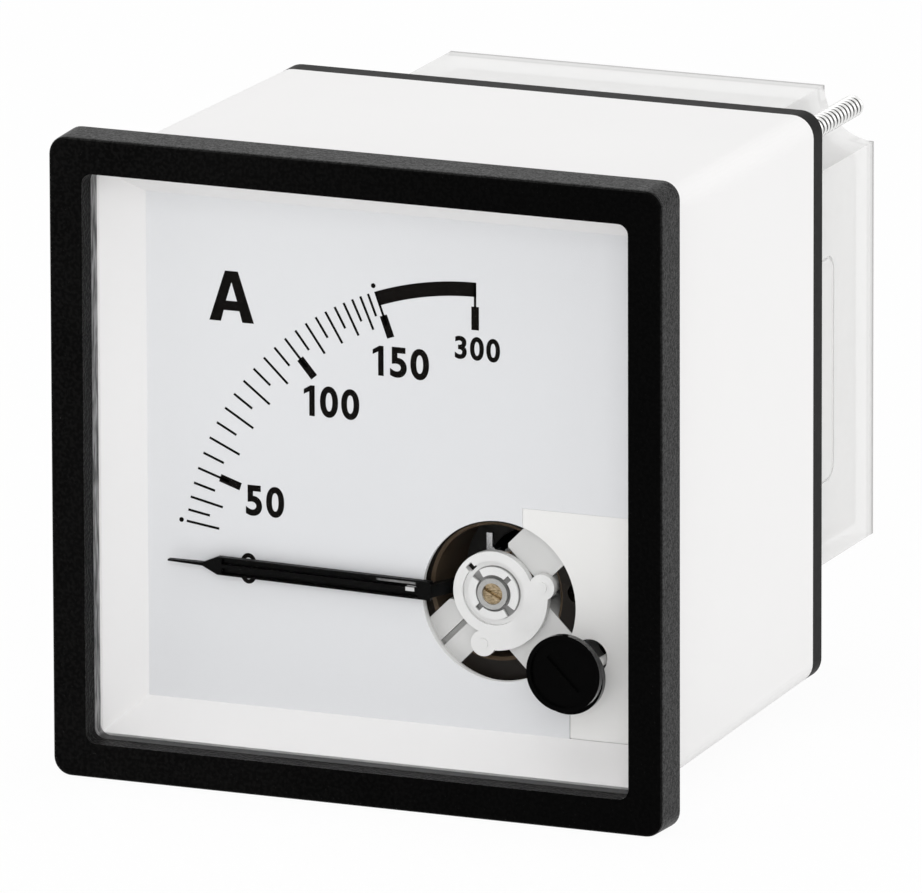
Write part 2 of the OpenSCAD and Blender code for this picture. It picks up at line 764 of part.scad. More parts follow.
module moving_vane() {
    gap = 1.2;
    r = coil_bore_r - vane_t - gap;
    web = 0.4;
    color([0.6, 0.6, 0.62]) at_spindle() {
        curved_vane(vane_y, vane_end_y, r - vane_t, r, moving_vane_angle, 70);
        for (y = [vane_y, vane_end_y - web]) {
            curved_vane(y, y + web, spindle_d / 2, r - vane_t / 2, moving_vane_angle, 40);
            tube(y, y + web, spindle_d / 2 + 0.6, spindle_d / 2);
        }
    }
}

module damping_vane() {
    y0 = chamber_y + 0.5;
    y1 = chamber_end_y - flange_t - 0.5;
    color([0.8, 0.8, 0.82]) at_spindle() difference() {
        union() {
            rod(y0, y1, spindle_d / 2 + 0.7);
            arm(90, 0.3, 0, flange_r - 1.7, y0, y1);
        }
        rod(y0 - 1, y1 + 1, spindle_d / 2);
    }
}

// ---- Zero adjuster ----

disc_gap = 0.15;
cam_t = 0.8;
cam_y = rim_y + disc_gap;
cam_end_y = cam_y + cam_t;

module zero_adjuster() {
    front = window_y - adjuster_h;
    floor_y = front + 0.4;
    color([0.05, 0.05, 0.05]) at(adjuster_at) difference() {
        union() {
            rod(front, window_y - disc_gap, adjuster_r);
            rod(window_y - disc_gap, cam_y, stem_r);
            rod(cam_y, cam_end_y, stem_r / 2);
        }
        rod(front - 1, floor_y, adjuster_r - adjuster_rim);
        slab(front - 1, floor_y + 0.35) rotate(-45) square([1.2 * adjuster_r, slot_w], center = true);
    }
}

module adjuster_cam() {
    cam_shift = [-0.6, -1.1];
    color([0.06, 0.06, 0.06]) at(adjuster_at) difference() {
        union() {
            at(cam_shift) rod(cam_y, cam_end_y, adjuster_r - 0.15);
            at(pin_at - adjuster_at) rod(cam_y, lever_y + lever_t + run_gap, pin_r);
        }
        rod(cam_y - 1, cam_end_y + 0.01, stem_r / 2);
    }
}

module zero_lever() {
    reach = adjuster_reach + pin_offset;
    fork_w = 2 * (pin_r + fork_play);
    finger = [-3.2, 4.9];
    color([0.65, 0.65, 0.66]) at_spindle() {
        slab(lever_y, lever_y + lever_t) difference() {
            union() {
                circle(2.7);
                rotate(adjuster_angle) {
                    translate([2, -0.75]) square([reach - 3, 1.5]);
                    translate([reach - 1.6, -fork_w / 2 - 0.7]) square([2.5, fork_w + 1.4]);
                }
                rotate(spring_end_angle) translate([2, -0.4]) square([spring_end_r - 1, 0.8]);
                translate([finger[0] - 0.33, 2.1]) square([0.66, finger[1] - 2.1]);
            }
            circle(lever_boss_r + 0.04);
            rotate(adjuster_angle) translate([reach - 0.95, -fork_w / 2]) square([3, fork_w]);
        }
        rotate([0, -spring_end_angle, 0]) translate([spring_end_r + 0.42, 0, 0])
            rod(lever_y, spring_y + spring_h, 0.3);
    }
}

// ---- Rear ----

strap_gap = 1.2;
strap_z = spindle_at[1] + shell_r + housing_wall + strap_gap;
strap_w = 5;
terminal_z = strap_z + terminal_rise;
barrier_h = 9;

module rear_plate() {
    lip_w = case_rear_w - 2 * case_wall - 0.3;
    lip_t = 1.2;
    lip_l = 2 * (stud_at - post_r - 1);
    ridge_at = cover_w / 2 - cover_wall - 0.3;
    color([0.1, 0.1, 0.1]) difference() {
        union() {
            slab(rear_y, rear_face_y) rounded_square(case_rear_w, case_r);
            for (a = [0:90:270]) rotate([0, a, 0]) {
                slab(rear_y - 2, rear_y) translate([lip_w / 2 - lip_t, -lip_l / 2]) square([lip_t, lip_l]);
                slab(rear_face_y, rear_face_y + 1.5) translate([ridge_at - 1.2, -12]) square([1.2, 24]);
            }
            for (x = [-1, 1]) at([x * terminal_pitch / 2, terminal_z])
                rod(rear_y, rear_face_y + 1.2, terminal_d / 2 + 3.5);
            slab(rear_y, rear_face_y + barrier_h) translate([-0.75, terminal_z - 5.5]) square([1.5, 18.5]);
        }
        for (x = [-1, 1]) at([x * terminal_pitch / 2, terminal_z])
            rod(rear_y - 1, rear_face_y + 3, terminal_d / 2 + stud_play);
        for (s = [-1, 1]) {
            at([s, s] * stud_at) rod(rear_y - 3, rear_face_y + 1, stud_d / 2 - stud_neck);
            at([s, -s] * screw_at) rod(rear_y - 3, rear_face_y + 1, screw_r);
        }
        at_spindle() for (a = pillar_angles) rotate([0, -a, 0]) translate([pillar_at, 0, 0]) {
            rod(rear_y - 1, rear_face_y + 1, screw_r);
            rod(rear_face_y - screw_head_t, rear_face_y + 1, screw_head_r + stud_play);
        }
    }
}

// A cross-head screw whose head sits at the given depth
module rear_screw(seat_y, l) {
    difference() {
        union() {
            rod(seat_y - l, seat_y, screw_r);
            rod(seat_y, seat_y + screw_head_t, screw_head_r);
        }
        for (a = [0, 90]) rotate([0, a, 0])
            slab(seat_y + screw_head_t / 2, seat_y + screw_head_t + 1)
                square([screw_head_r * 1.2, 0.5], center = true);
    }
}

module housing_screws() {
    color("silver") at_spindle() for (a = pillar_angles) rotate([0, -a, 0]) translate([pillar_at, 0, 0])
        rear_screw(rear_face_y - screw_head_t, screw_l);
}

module case_screws() {
    color("silver") for (s = [-1, 1]) at([s, -s] * screw_at) rear_screw(rear_face_y, screw_l);
}

module mounting_studs() {
    color("silver") for (s = [-1, 1]) at([s, s] * stud_at) {
        rod(rear_y - stud_grip, rear_face_y + 0.1, stud_d / 2 - stud_neck);
        rod(rear_face_y, rear_face_y + stud_l, stud_d / 2);
    }
}

hex_r = terminal_d * 1.01;
seat_y = rear_face_y + 1.2;

module terminal_studs() {
    color([0.75, 0.65, 0.4]) for (x = [-1, 1]) at([x * terminal_pitch / 2, terminal_z]) {
        run_back(rear_y - washer_t - 2.6) cylinder(r = hex_r, h = 2.6, $fn = 6);
        rod(rear_y - washer_t - 2.6, rear_face_y + terminal_l, terminal_d / 2);
    }
}

module terminal_nuts() {
    color([0.78, 0.68, 0.42]) for (x = [-1, 1], i = [0, 1])
        at([x * terminal_pitch / 2, terminal_z]) difference() {
            run_back(seat_y + washer_t + i * (nut_t + washer_t)) cylinder(r = hex_r, h = nut_t, $fn = 6);
            rod(seat_y, seat_y + 20, terminal_d / 2);
        }
}

module terminal_washers() {
    color("silver") for (x = [-1, 1], i = [0, 1]) at([x * terminal_pitch / 2, terminal_z])
        tube(seat_y + i * (nut_t + washer_t), seat_y + i * (nut_t + washer_t) + washer_t,
            terminal_d / 2 + 2.5, terminal_d / 2);
}

// One flat copper strap from a terminal to the coil's lead at x
module strap(from_x, to_x) {
    lead_y = coil_y + flange_t + coil_l - 1.2;
    left = min(from_x, to_x) - strap_w / 2;
    right = max(from_x, to_x) + strap_w / 2;
    difference() {
        union() {
            slab(rear_y - washer_t, rear_y) {
                translate([left, terminal_z - strap_w / 2]) square([right - left, strap_w]);
                translate([to_x - strap_w / 2, strap_z]) square([strap_w, terminal_z - strap_z]);
            }
            translate([to_x - strap_w / 2, lead_y - 1.5, strap_z])
                cube([strap_w, rear_y - lead_y + 1.5, washer_t]);
        }
        at([from_x, terminal_z]) rod(rear_y - 3, rear_y + 1, terminal_d / 2);
    }
}

module terminal_straps() {
    color([0.75, 0.45, 0.25]) {
        strap(terminal_pitch / 2, spindle_at[0] + lead_x[0]);
        strap(-terminal_pitch / 2, spindle_at[0] + lead_x[1]);
    }
}

// ---- Terminal cover ----

module cover_outline(inset) {
    difference() {
        square(cover_w - 2 * inset, center = true);
        for (s = [-1, 1]) {
            translate([s, s] * cover_w / 2) circle(notch_r + inset);
            translate([s, -s] * cover_w / 2) circle(big_notch_r + inset);
        }
    }
}

// A line that marks where a cable opening can be broken out of the side wall
module knockout_line() {
    r = 2;
    line_w = 0.35;
    y0 = rear_face_y + cover_gap - r;
    module frame(inset) {
        translate([y0 + inset, knockout_z - knockout_h / 2 + inset])
            square([knockout_d - inset, knockout_h - 2 * inset]);
        translate([y0 + inset, knockout_z - knockout_h / 2 + r])
            square([knockout_d + r - 2 * inset, knockout_h - 2 * r]);
        for (z = [-1, 1]) translate([y0 + knockout_d, knockout_z + z * (knockout_h / 2 - r)])
            circle(r - inset);
    }
    linear_extrude(1) difference() {
        frame(0);
        frame(line_w);
    }
}

module terminal_cover() {
    y0 = rear_face_y + cover_gap;
    y1 = rear_face_y + cover_d;
    line_d = 0.3;
    color([0.9, 0.9, 0.9, 0.5]) difference() {
        slab(y0, y1) cover_outline(0);
        slab(y0 - 1, y1 - cover_wall) cover_outline(cover_wall);
        for (s = [-1, 1]) translate([s * (cover_w / 2 + 0.5 - line_d), 0, 0])
            rotate([90, 0, 90]) translate([0, 0, -0.5]) knockout_line();
    }
}

front_bezel();
window_pane();
case();
dial_plate();
dial_carrier();
carrier_screws();
spider_frame();
front_bridge();
front_bearing_bush();
front_jewel_screw();
front_jewel();
coil_housing();
coil_bobbin();
coil_winding();
fixed_vane();
damping_chamber();
rear_bearing_bush();
rear_jewel_screw();
rear_jewel();
rear_plate();
housing_screws();
case_screws();
terminal_studs();
terminal_nuts();
terminal_washers();
terminal_straps();
mounting_studs();
pointer();
spindle();
balance_arms();
counterweight();
balance_weights();
spring_collet();
hairspring();
moving_vane();
damping_vane();
zero_adjuster();
adjuster_cam();
zero_lever();
terminal_cover();
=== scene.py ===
import math
import bmesh
import bpy
from mathutils import Matrix, Vector


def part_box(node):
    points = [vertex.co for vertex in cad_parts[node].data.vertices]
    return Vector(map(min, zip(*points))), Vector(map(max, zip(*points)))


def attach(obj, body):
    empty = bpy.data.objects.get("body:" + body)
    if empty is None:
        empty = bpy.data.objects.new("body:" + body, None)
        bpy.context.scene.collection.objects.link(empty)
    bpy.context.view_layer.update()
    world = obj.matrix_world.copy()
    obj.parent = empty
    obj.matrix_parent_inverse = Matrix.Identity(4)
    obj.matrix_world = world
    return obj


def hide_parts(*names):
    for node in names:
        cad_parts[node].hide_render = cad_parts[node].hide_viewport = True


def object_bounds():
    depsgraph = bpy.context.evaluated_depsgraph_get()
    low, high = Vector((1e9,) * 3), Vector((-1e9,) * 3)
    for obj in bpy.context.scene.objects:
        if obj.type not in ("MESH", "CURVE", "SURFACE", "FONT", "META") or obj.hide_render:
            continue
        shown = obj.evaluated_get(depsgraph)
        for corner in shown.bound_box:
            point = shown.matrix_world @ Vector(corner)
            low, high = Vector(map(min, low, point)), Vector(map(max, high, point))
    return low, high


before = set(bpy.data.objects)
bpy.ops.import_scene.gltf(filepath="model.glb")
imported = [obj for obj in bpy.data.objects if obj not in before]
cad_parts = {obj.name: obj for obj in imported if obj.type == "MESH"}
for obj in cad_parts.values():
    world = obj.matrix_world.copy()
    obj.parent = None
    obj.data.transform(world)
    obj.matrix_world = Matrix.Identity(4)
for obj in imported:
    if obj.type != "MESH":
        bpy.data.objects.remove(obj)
cad_low, cad_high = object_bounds()

# ---- The table, the lamps and the camera ----
# The meter stands on a plain white table top that reaches out of sight. Three wide cloth-covered
# lamps light it softly from above, from the front and from the right.


class Value:
    """What comes out of a node; it takes part in sums as a plain number does."""

    def __init__(self, plan, socket):
        self.plan = plan
        self.socket = socket

    def also(self, output):
        return Value(self.plan, self.socket.node.outputs[output])

    def __add__(self, other):
        return self.plan.sum("ADD", self, other)

    def __radd__(self, other):
        return self.plan.sum("ADD", other, self)

    def __sub__(self, other):
        return self.plan.sum("SUBTRACT", self, other)

    def __rsub__(self, other):
        return self.plan.sum("SUBTRACT", other, self)

    def __mul__(self, other):
        return self.plan.sum("MULTIPLY", self, other)

    def __rmul__(self, other):
        return self.plan.sum("MULTIPLY", other, self)

    def __truediv__(self, other):
        return self.plan.sum("DIVIDE", self, other)

    def __rtruediv__(self, other):
        return self.plan.sum("DIVIDE", other, self)

    def __pow__(self, other):
        return self.plan.sum("POWER", self, other)


class Plan:
    """A tree of nodes, drawn up one node at a time: its type and settings, then what goes in."""

    def __init__(self, tree):
        self.tree = tree

    def node(self, kind, settings=None, inputs=None, output=0):
        made = self.tree.nodes.new(kind)
        for name, setting in (settings or {}).items():
            setattr(made, name, setting)
        for key, given in (inputs or {}).items():
            if isinstance(given, Value):
                self.tree.links.new(given.socket, made.inputs[key])
            else:
                made.inputs[key].default_value = given
        return Value(self, made.outputs[output] if len(made.outputs) else None)

    def sum(self, operation, first, second=0.0):
        return self.node("ShaderNodeMath", {"operation": operation}, {0: first, 1: second})

    def between(self, value, low, high):
        """0 where value is low or less, 1 where it is high or more."""
        return self.node("ShaderNodeMapRange", {"interpolation_type": "SMOOTHSTEP"},
                         {"Value": value, "From Min": low, "From Max": high})

    def band(self, value, low, full, until, high):
        """1 from full to until, falling off to 0 at low and at high."""
        return self.between(value, low, full) * (1 - self.between(value, until, high))

    def tint(self, first, second, share):
        return self.node("ShaderNodeMix", {"data_type": "RGBA"}, {0: share, 6: first, 7: second}, 2)


class Finish(Plan):
    """A material on one Principled shader: what is the same all over, then what varies."""

    def __init__(self, name, constants):
        self.material = bpy.data.materials.new(name)
        self.material.use_nodes = True
        super().__init__(self.material.node_tree)
        self.tree.nodes.clear()
        self.shader = self.tree.nodes.new("ShaderNodeBsdfPrincipled")
        self.end = self.tree.nodes.new("ShaderNodeOutputMaterial")
        self.tree.links.new(self.shader.outputs[0], self.end.inputs[0])
        for key, constant in constants.items():
            self.shader.inputs[key].default_value = constant
        self.place = self.node("ShaderNodeTexCoord", output="Object")

    def vary(self, key, value):
        self.tree.links.new(value.socket, self.shader.inputs[key])

    def cloud(self, size_mm, detail=2.0, stretch=(1, 1, 1)):
        """Soft patches of about this size, between 0 and 1."""
        place = self.node("ShaderNodeMapping", {}, {"Vector": self.place, "Scale": stretch})
        return self.node("ShaderNodeTexNoise", {}, {"Vector": place, "Scale": 1000 / size_mm,
                                                    "Detail": detail})

    def along(self, axis):
        """The place along an axis: 0 for X, 1 for Y, 2 for Z."""
        return self.node("ShaderNodeSeparateXYZ", {}, {0: self.place}, axis)

    def facing(self, axis):
        """How squarely the surface faces along an axis, either way, between 0 and 1."""
        normal = self.node("ShaderNodeSeparateXYZ", {}, {0: self.place.also("Normal")}, axis)
        return self.sum("ABSOLUTE", normal)

    def from_line(self, point):
        """Distance from the line that runs along Y through a point."""
        offset = self.node("ShaderNodeVectorMath", {"operation": "SUBTRACT"},
                           {0: self.place, 1: tuple(point)})
        level = self.node("ShaderNodeVectorMath", {"operation": "MULTIPLY"}, {0: offset, 1: (1, 0, 1)})
        return self.node("ShaderNodeVectorMath", {"operation": "LENGTH"}, {0: level}, "Value")

    def relief(self, height, depth_mm, strength=1.0):
        bump = self.node("ShaderNodeBump", {}, {"Height": height, "Strength": strength,
                                                "Distance": depth_mm / 1000})
        self.vary("Normal", bump)

    def on_nodes(self, *names):
        for name in names:
            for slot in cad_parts[name].material_slots:
                slot.material = self.material

    def on_piece(self, piece):
        piece.data.materials.clear()
        piece.data.materials.append(self.material)


def seen_or_mirrored(plan):
    """1 for what the camera sees, also in metal and through clear plastic; 0 for light that falls."""
    path = plan.node("ShaderNodeLightPath", output="Is Camera Ray")
    mirrored = plan.sum("MAXIMUM", path.also("Is Glossy Ray"), path.also("Is Transmission Ray"))
    return plan.sum("MAXIMUM", path, mirrored)


floor_mesh = bpy.data.meshes.new("table_top")
reach = 1.8
floor_corners = [(x * reach, y * reach, cad_low.z) for x, y in ((-1, -1), (1, -1), (1, 1), (-1, 1))]
floor_mesh.from_pydata(floor_corners, [], [(0, 1, 2, 3)])
floor = bpy.data.objects.new("table_top", floor_mesh)
bpy.context.scene.collection.objects.link(floor)
table_white = Finish("table_white", {"Base Color": (0.9, 0.9, 0.9, 1), "Roughness": 0.9,
                                     "Specular IOR Level": 0.0})
glow = table_white.node("ShaderNodeEmission", {}, {"Color": (1, 1, 1, 1), "Strength": 1.0})
table_glow = 0.95
table_mix = table_white.node("ShaderNodeMixShader", {}, {
    0: seen_or_mirrored(table_white) * table_glow,
    1: Value(table_white, table_white.shader.outputs[0]), 2: glow})
table_white.tree.links.new(table_mix.socket, table_white.end.inputs[0])
table_white.on_piece(floor)

world = bpy.data.worlds.new("studio")
bpy.context.scene.world = world
world.use_nodes = True
world.node_tree.nodes.clear()
room = Plan(world.node_tree)
room_light = 0.78
room_shade = room.node("ShaderNodeBackground", {}, {
    "Color": (1, 1, 1, 1), "Strength": seen_or_mirrored(room) * (1 - room_light) + room_light})
room.node("ShaderNodeOutputWorld", {}, {"Surface": room_shade})

for name, at, side, power in (("lamp_above", (-0.25, -0.1, 1.3), 0.9, 2.2),
                              ("lamp_front", (0.5, -1.4, 0.45), 0.9, 7.6),
                              ("lamp_right", (1.25, 0.1, 0.35), 0.9, 2.2)):
    lamp = bpy.data.lights.new(name, "AREA")
    lamp.shape = "SQUARE"
    lamp.size = side
    lamp.energy = power
    lamp_object = bpy.data.objects.new(name, lamp)
    lamp_object.location = at
    lamp_object.rotation_euler = (-Vector(at)).to_track_quat("-Z", "Y").to_euler()
    bpy.context.scene.collection.objects.link(lamp_object)

turn, tilt, lean = (math.radians(a) for a in (22.652, 14.228, -0.177))
aim = Vector((0.010454, 0.0, 0.004292))
back = Vector((math.sin(turn) * math.cos(tilt), -math.cos(turn) * math.cos(tilt), math.sin(tilt)))
right = Vector((math.cos(turn), math.sin(turn), 0.0))
up = back.cross(right)
right, up = (math.cos(lean) * right + math.sin(lean) * up,
             math.cos(lean) * up - math.sin(lean) * right)
camera_distance = 2.1036
camera = bpy.data.cameras.new("camera")
camera.lens = 758.92
camera.sensor_width = 36
camera.clip_end = 20
camera_object = bpy.data.objects.new("camera", camera)
camera_object.matrix_world = Matrix.Translation(aim + back * camera_distance) @ Matrix(
    (right, up, back)).transposed().to_4x4()
bpy.context.scene.collection.objects.link(camera_object)
bpy.context.scene.camera = camera_object
bpy.context.scene.view_settings.view_transform = "Standard"

# ---- Bezel ----
# A square frame of black glass-filled plastic, moulded with a fine spark-eroded grain. It is snapped
# over the front of the case and holds the window; handling has polished its outer edges a little.

bezel_black = Finish("bezel_black", {"Specular IOR Level": 0.02, "Coat Roughness": 0.42})
bezel_grain = bezel_black.between(bezel_black.cloud(0.42, 1), 0.4, 0.66)
bezel_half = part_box("front_bezel")[1].x
bezel_x = bezel_black.along(0)
bezel_out = bezel_black.sum("MAXIMUM", bezel_black.sum("ABSOLUTE", bezel_x),
                            bezel_black.sum("ABSOLUTE", bezel_black.along(2)))
bezel_rim = bezel_black.between(bezel_out, bezel_half - 0.003, bezel_half - 0.0015)
bezel_edge = (1 - bezel_black.between(bezel_black.facing(1), 0.5, 0.85)) * (bezel_rim * 0.75 + 0.25)
bezel_fine = bezel_black.between(bezel_black.cloud(0.2, 2), 0.35, 0.7)
# The base colour's light speckle is full at the bezel's left end and falls to a fifth towards its right end.
bezel_leftward_lift = 1 - bezel_black.between(bezel_x, -bezel_half, bezel_half - 0.006) * 0.8
bezel_speckle_leftward = (bezel_grain * 0.5 + bezel_black.cloud(9, 3) * 0.5) * bezel_leftward_lift
bezel_black.vary("Base Color", bezel_black.tint((0.0004, 0.0004, 0.0004, 1), (0.0062, 0.006, 0.0058, 1),
                                                bezel_speckle_leftward))
bezel_black.vary("Coat Weight", bezel_edge * (bezel_fine * 0.42 + bezel_grain * 0.16 + 0.2))
bezel_black.vary("Roughness", bezel_black.cloud(0.8, 2) * 0.16 + 0.36)
bezel_black.relief(bezel_grain + bezel_black.cloud(0.2, 1) * 0.5, 0.05, 0.8)
bezel_black.on_nodes("front_bezel")

# ---- Window ----
# A flat pane of clear acrylic behind the bezel's lip, with a hole for the zero adjuster's stem.
# It is cut from polished sheet, so only its edge catches the light.

window_clear = Finish("window_clear", {"Specular IOR Level": 0.3})
window_edge = 1 - window_clear.between(window_clear.facing(1), 0.3, 0.7)
sawn = window_clear.between(window_clear.cloud(0.5, 3, (1, 1, 0.15)), 0.3, 0.7)
upright_edge = window_clear.between(window_clear.facing(0), 0.5, 0.8)
sawn_edge = window_clear.tint((0.05, 0.05, 0.05, 1), (0.42, 0.42, 0.42, 1), sawn * upright_edge)
window_clear.vary("Base Color", window_clear.tint((0.01, 0.01, 0.01, 1), sawn_edge, window_edge))
window_clear.vary("Roughness", window_clear.cloud(2, 2) * 0.04 + window_edge * 0.4 + 0.02)
window_haze = window_clear.node("ShaderNodeLayerWeight", {}, {"Blend": 0.35}, "Facing")
window_clear.vary("Alpha", window_edge * (window_clear.cloud(1.2, 2) * 0.3 + 0.6) + window_haze ** 3 * 0.1
                  + window_clear.cloud(14, 1) * 0.004 + 0.006)
window_clear.on_nodes("window_pane")

# ---- Case ----
# A deep box of white ABS, one moulding with the sloping surround in front of the dial. Its sides
# draw in a little towards the back so that it leaves the mould.

case_white = Finish("case_white", {"Specular IOR Level": 0.3})
case_white.vary("Base Color", case_white.tint((0.875, 0.868, 0.866, 1), (0.895, 0.888, 0.884, 1),
                                              case_white.cloud(22, 3)))
case_white.vary("Roughness", case_white.cloud(3, 2) * 0.1 + 0.42)
case_white.relief(case_white.cloud(0.6, 2), 0.004, 0.6)
case_white.on_nodes("case")

# ---- Dial plate ----
# A sheet-metal plate with a satin cool-white stove enamel, notched for the carrier's raised corner
# and punched with the round hole that shows the movement.

dial_white = Finish("dial_white", {"Specular IOR Level": 0.3})
dial_patches = dial_white.cloud(30, 2)
dial_cut = 1 - dial_white.between(dial_white.facing(1), 0.3, 0.7)
dial_height = dial_white.along(2)
# Painted light: the enamel's base colour is lifted towards the upper left, where the bezel shades the dial;
# soft random patches of tone lie over it.
dial_painted_light_and_patches = dial_white.between(dial_height - dial_white.along(0), 0.0, 0.05) * 0.9 + dial_patches * 0.2
dial_enamel_and_painted_light = dial_white.tint((0.735, 0.743, 0.76, 1), (0.785, 0.793, 0.808, 1), dial_painted_light_and_patches)
# Painted shade and light on the plate's cut edge: below this height the edge is painted near-black as a
# shadow line, above it near-white to lift the edge out of the bezel's shade.
painted_shadow_top_z = -0.0232
dial_edge_painted_shade_and_light = dial_white.tint((0.02, 0.02, 0.02, 1), (0.95, 0.95, 0.945, 1),
                            dial_white.between(dial_height, painted_shadow_top_z - 0.0002, painted_shadow_top_z + 0.0002))
dial_white.vary("Base Color", dial_white.tint(dial_enamel_and_painted_light, dial_edge_painted_shade_and_light, dial_cut))
dial_white.vary("Roughness", dial_white.cloud(1.2, 2) * 0.12 + 0.48)
dial_white.relief(dial_white.cloud(0.35, 1), 0.003, 0.4)
dial_white.on_nodes("dial_plate")

# ---- Scale ----
# Everything on the dial is screen-printed in black: fine lines that open out from the start of the
# scale, bold blocks at the numbered values, and a heavy band over the overload range.

spindle_low, spindle_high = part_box("front_jewel_screw")
spindle = (spindle_low + spindle_high) / 2
dial_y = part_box("dial_plate")[0].y
ink_t = 0.00002
scale_x = spindle.x - 0.00165
scale_z = spindle.z + 0.00024
scale_r = 0.03455
rated_load = 150
scale_start, scale_sweep = 2.148, 94.862
scale_bend, scale_power = 0.3963, 2.2955


def scale_angle(amperes):
    """Angle of a current on the scale, in degrees above level, from the left end."""
    load = (amperes / rated_load) ** scale_power
    return scale_start + scale_sweep * load / (load + scale_bend)


def link_piece(name, mesh):
    piece = bpy.data.objects.new(name, mesh)
    bpy.context.scene.collection.objects.link(piece)
    return piece


def named_tree(name, kinds):
    """Starts a tree of geometry nodes: its plan, what it is given, and the keys of its inputs."""
    tree = bpy.data.node_groups.new(name, "GeometryNodeTree")
    keys = {}
    for label, kind in kinds.items():
        socket = tree.interface.new_socket(name=label, in_out="INPUT", socket_type="NodeSocket" + kind)
        keys[label] = socket.identifier
    tree.interface.new_socket(name="Geometry", in_out="OUTPUT", socket_type="NodeSocketGeometry")
    plan = Plan(tree)
    return plan, plan.node("NodeGroupInput"), keys


def end_tree(plan, geometry, material):
    real = plan.node("GeometryNodeRealizeInstances", {}, {"Geometry": geometry})
    dressed = plan.node("GeometryNodeSetMaterial", {}, {"Geometry": real, "Material": material})
    plan.node("NodeGroupOutput", {}, {"Geometry": dressed})


def scale_marks_tree():
    """Marks in a row of equal steps of current, each laid along the pointer's line."""
    plan, given, keys = named_tree("scale_marks", {
        "Pivot": "Vector", "First": "Float", "Step": "Float", "Count": "Int", "Outer radius": "Float",
        "Length": "Float", "Width": "Float", "Thickness": "Float", "Ink": "Material"})
    index = plan.node("GeometryNodeInputIndex")
    load = ((given.also("First") + given.also("Step") * index) / rated_load) ** scale_power
    angle = (load * scale_sweep / (load + scale_bend) + scale_start) * (math.pi / 180)
    middle = given.also("Outer radius") - given.also("Length") / 2
    across = plan.sum("COSINE", angle) * middle * -1
    upward = plan.sum("SINE", angle) * middle
    offset = plan.node("ShaderNodeCombineXYZ", {}, {0: across, 1: given.also("Thickness") / -2,
                                                    2: upward})
    points = plan.node("GeometryNodeMeshLine", {}, {"Count": given.also("Count"), "Offset": (0, 0, 0)})
    placed = plan.node("GeometryNodeSetPosition", {}, {
        "Geometry": points,
        "Position": plan.node("ShaderNodeVectorMath", {"operation": "ADD"},
                              {0: given.also("Pivot"), 1: offset})})
    size = plan.node("ShaderNodeCombineXYZ", {}, {0: given.also("Length"), 1: given.also("Thickness"),
                                                  2: given.also("Width")})
    turned = plan.node("ShaderNodeCombineXYZ", {}, {1: angle + math.pi})
    marks = plan.node("GeometryNodeInstanceOnPoints", {}, {
        "Points": placed, "Instance": plan.node("GeometryNodeMeshCube", {}, {"Size": (1, 1, 1)}),
        "Rotation": turned, "Scale": size})
    end_tree(plan, marks, given.also("Ink"))
    return plan.tree, keys


def grown(name, tree, keys, values):
    """Runs a tree of geometry nodes with these inputs and gives its result as a plain mesh."""
    host = link_piece(name, bpy.data.meshes.new(name))
    modifier = host.modifiers.new("nodes", "NODES")
    modifier.node_group = tree
    for key, value in values.items():
        modifier[keys[key]] = value
    bpy.context.view_layer.update()
    mesh = bpy.data.meshes.new_from_object(host.evaluated_get(bpy.context.evaluated_depsgraph_get()))
    bpy.data.objects.remove(host)
    return mesh


dial_ink = Finish("dial_ink", {"Specular IOR Level": 0.05})
dial_ink.vary("Base Color", dial_ink.tint((0.0028, 0.0022, 0.0016, 1), (0.005, 0.0042, 0.0035, 1),
                                          dial_ink.cloud(0.4, 2)))
dial_ink.vary("Roughness", dial_ink.cloud(0.9, 2) * 0.1 + 0.5)

marks_tree, marks_keys = scale_marks_tree()
ink_sheet = bmesh.new()
for first, step, count, outer, length, width in (
        (30, 10, 13, 0, 3.9, 0.27), (35, 10, 12, 0, 2.6, 0.27),
        (50, 50, 3, -2.75, 2.55, 0.88), (300, 50, 1, 0, 2.8, 0.27), (300, 50, 1, -2.7, 2.6, 0.88)):
    mesh = grown("marks", marks_tree, marks_keys, {
        "Pivot": (scale_x, dial_y, scale_z), "First": float(first), "Step": float(step), "Count": count,
        "Outer radius": scale_r + outer / 1000, "Length": length / 1000, "Width": width / 1000,
        "Thickness": ink_t, "Ink": dial_ink.material})
    ink_sheet.from_mesh(mesh)
    bpy.data.meshes.remove(mesh)


def printed_arc(sheet, inner, outer, start, end, steps=48):
    """A printed band about the scale's centre, from one angle to the next, in degrees above level."""
    rows = []
    for i in range(steps + 1):
        a = math.radians(start + (end - start) * i / steps)
        rows.append([sheet.verts.new((scale_x - r * math.cos(a), y, scale_z + r * math.sin(a)))
                     for r, y in ((inner, dial_y - ink_t), (outer, dial_y - ink_t), (outer, dial_y),
                                  (inner, dial_y))])
    for before, after in zip(rows, rows[1:]):
        for k in range(4):
            n = (k + 1) % 4
            sheet.faces.new((before[k], before[n], after[n], after[k]))
    sheet.faces.new(rows[0][::-1])
    sheet.faces.new(rows[-1])


def printed_dot(sheet, angle, distance, radius):
    a = math.radians(angle)
    middle = Vector((scale_x - distance * math.cos(a), dial_y - ink_t / 2,
                     scale_z + distance * math.sin(a)))
    bmesh.ops.create_cone(sheet, cap_ends=True, segments=20, radius1=radius, radius2=radius, depth=ink_t,
                          matrix=Matrix.Translation(middle) @ Matrix.Rotation(math.pi / 2, 4, "X"))


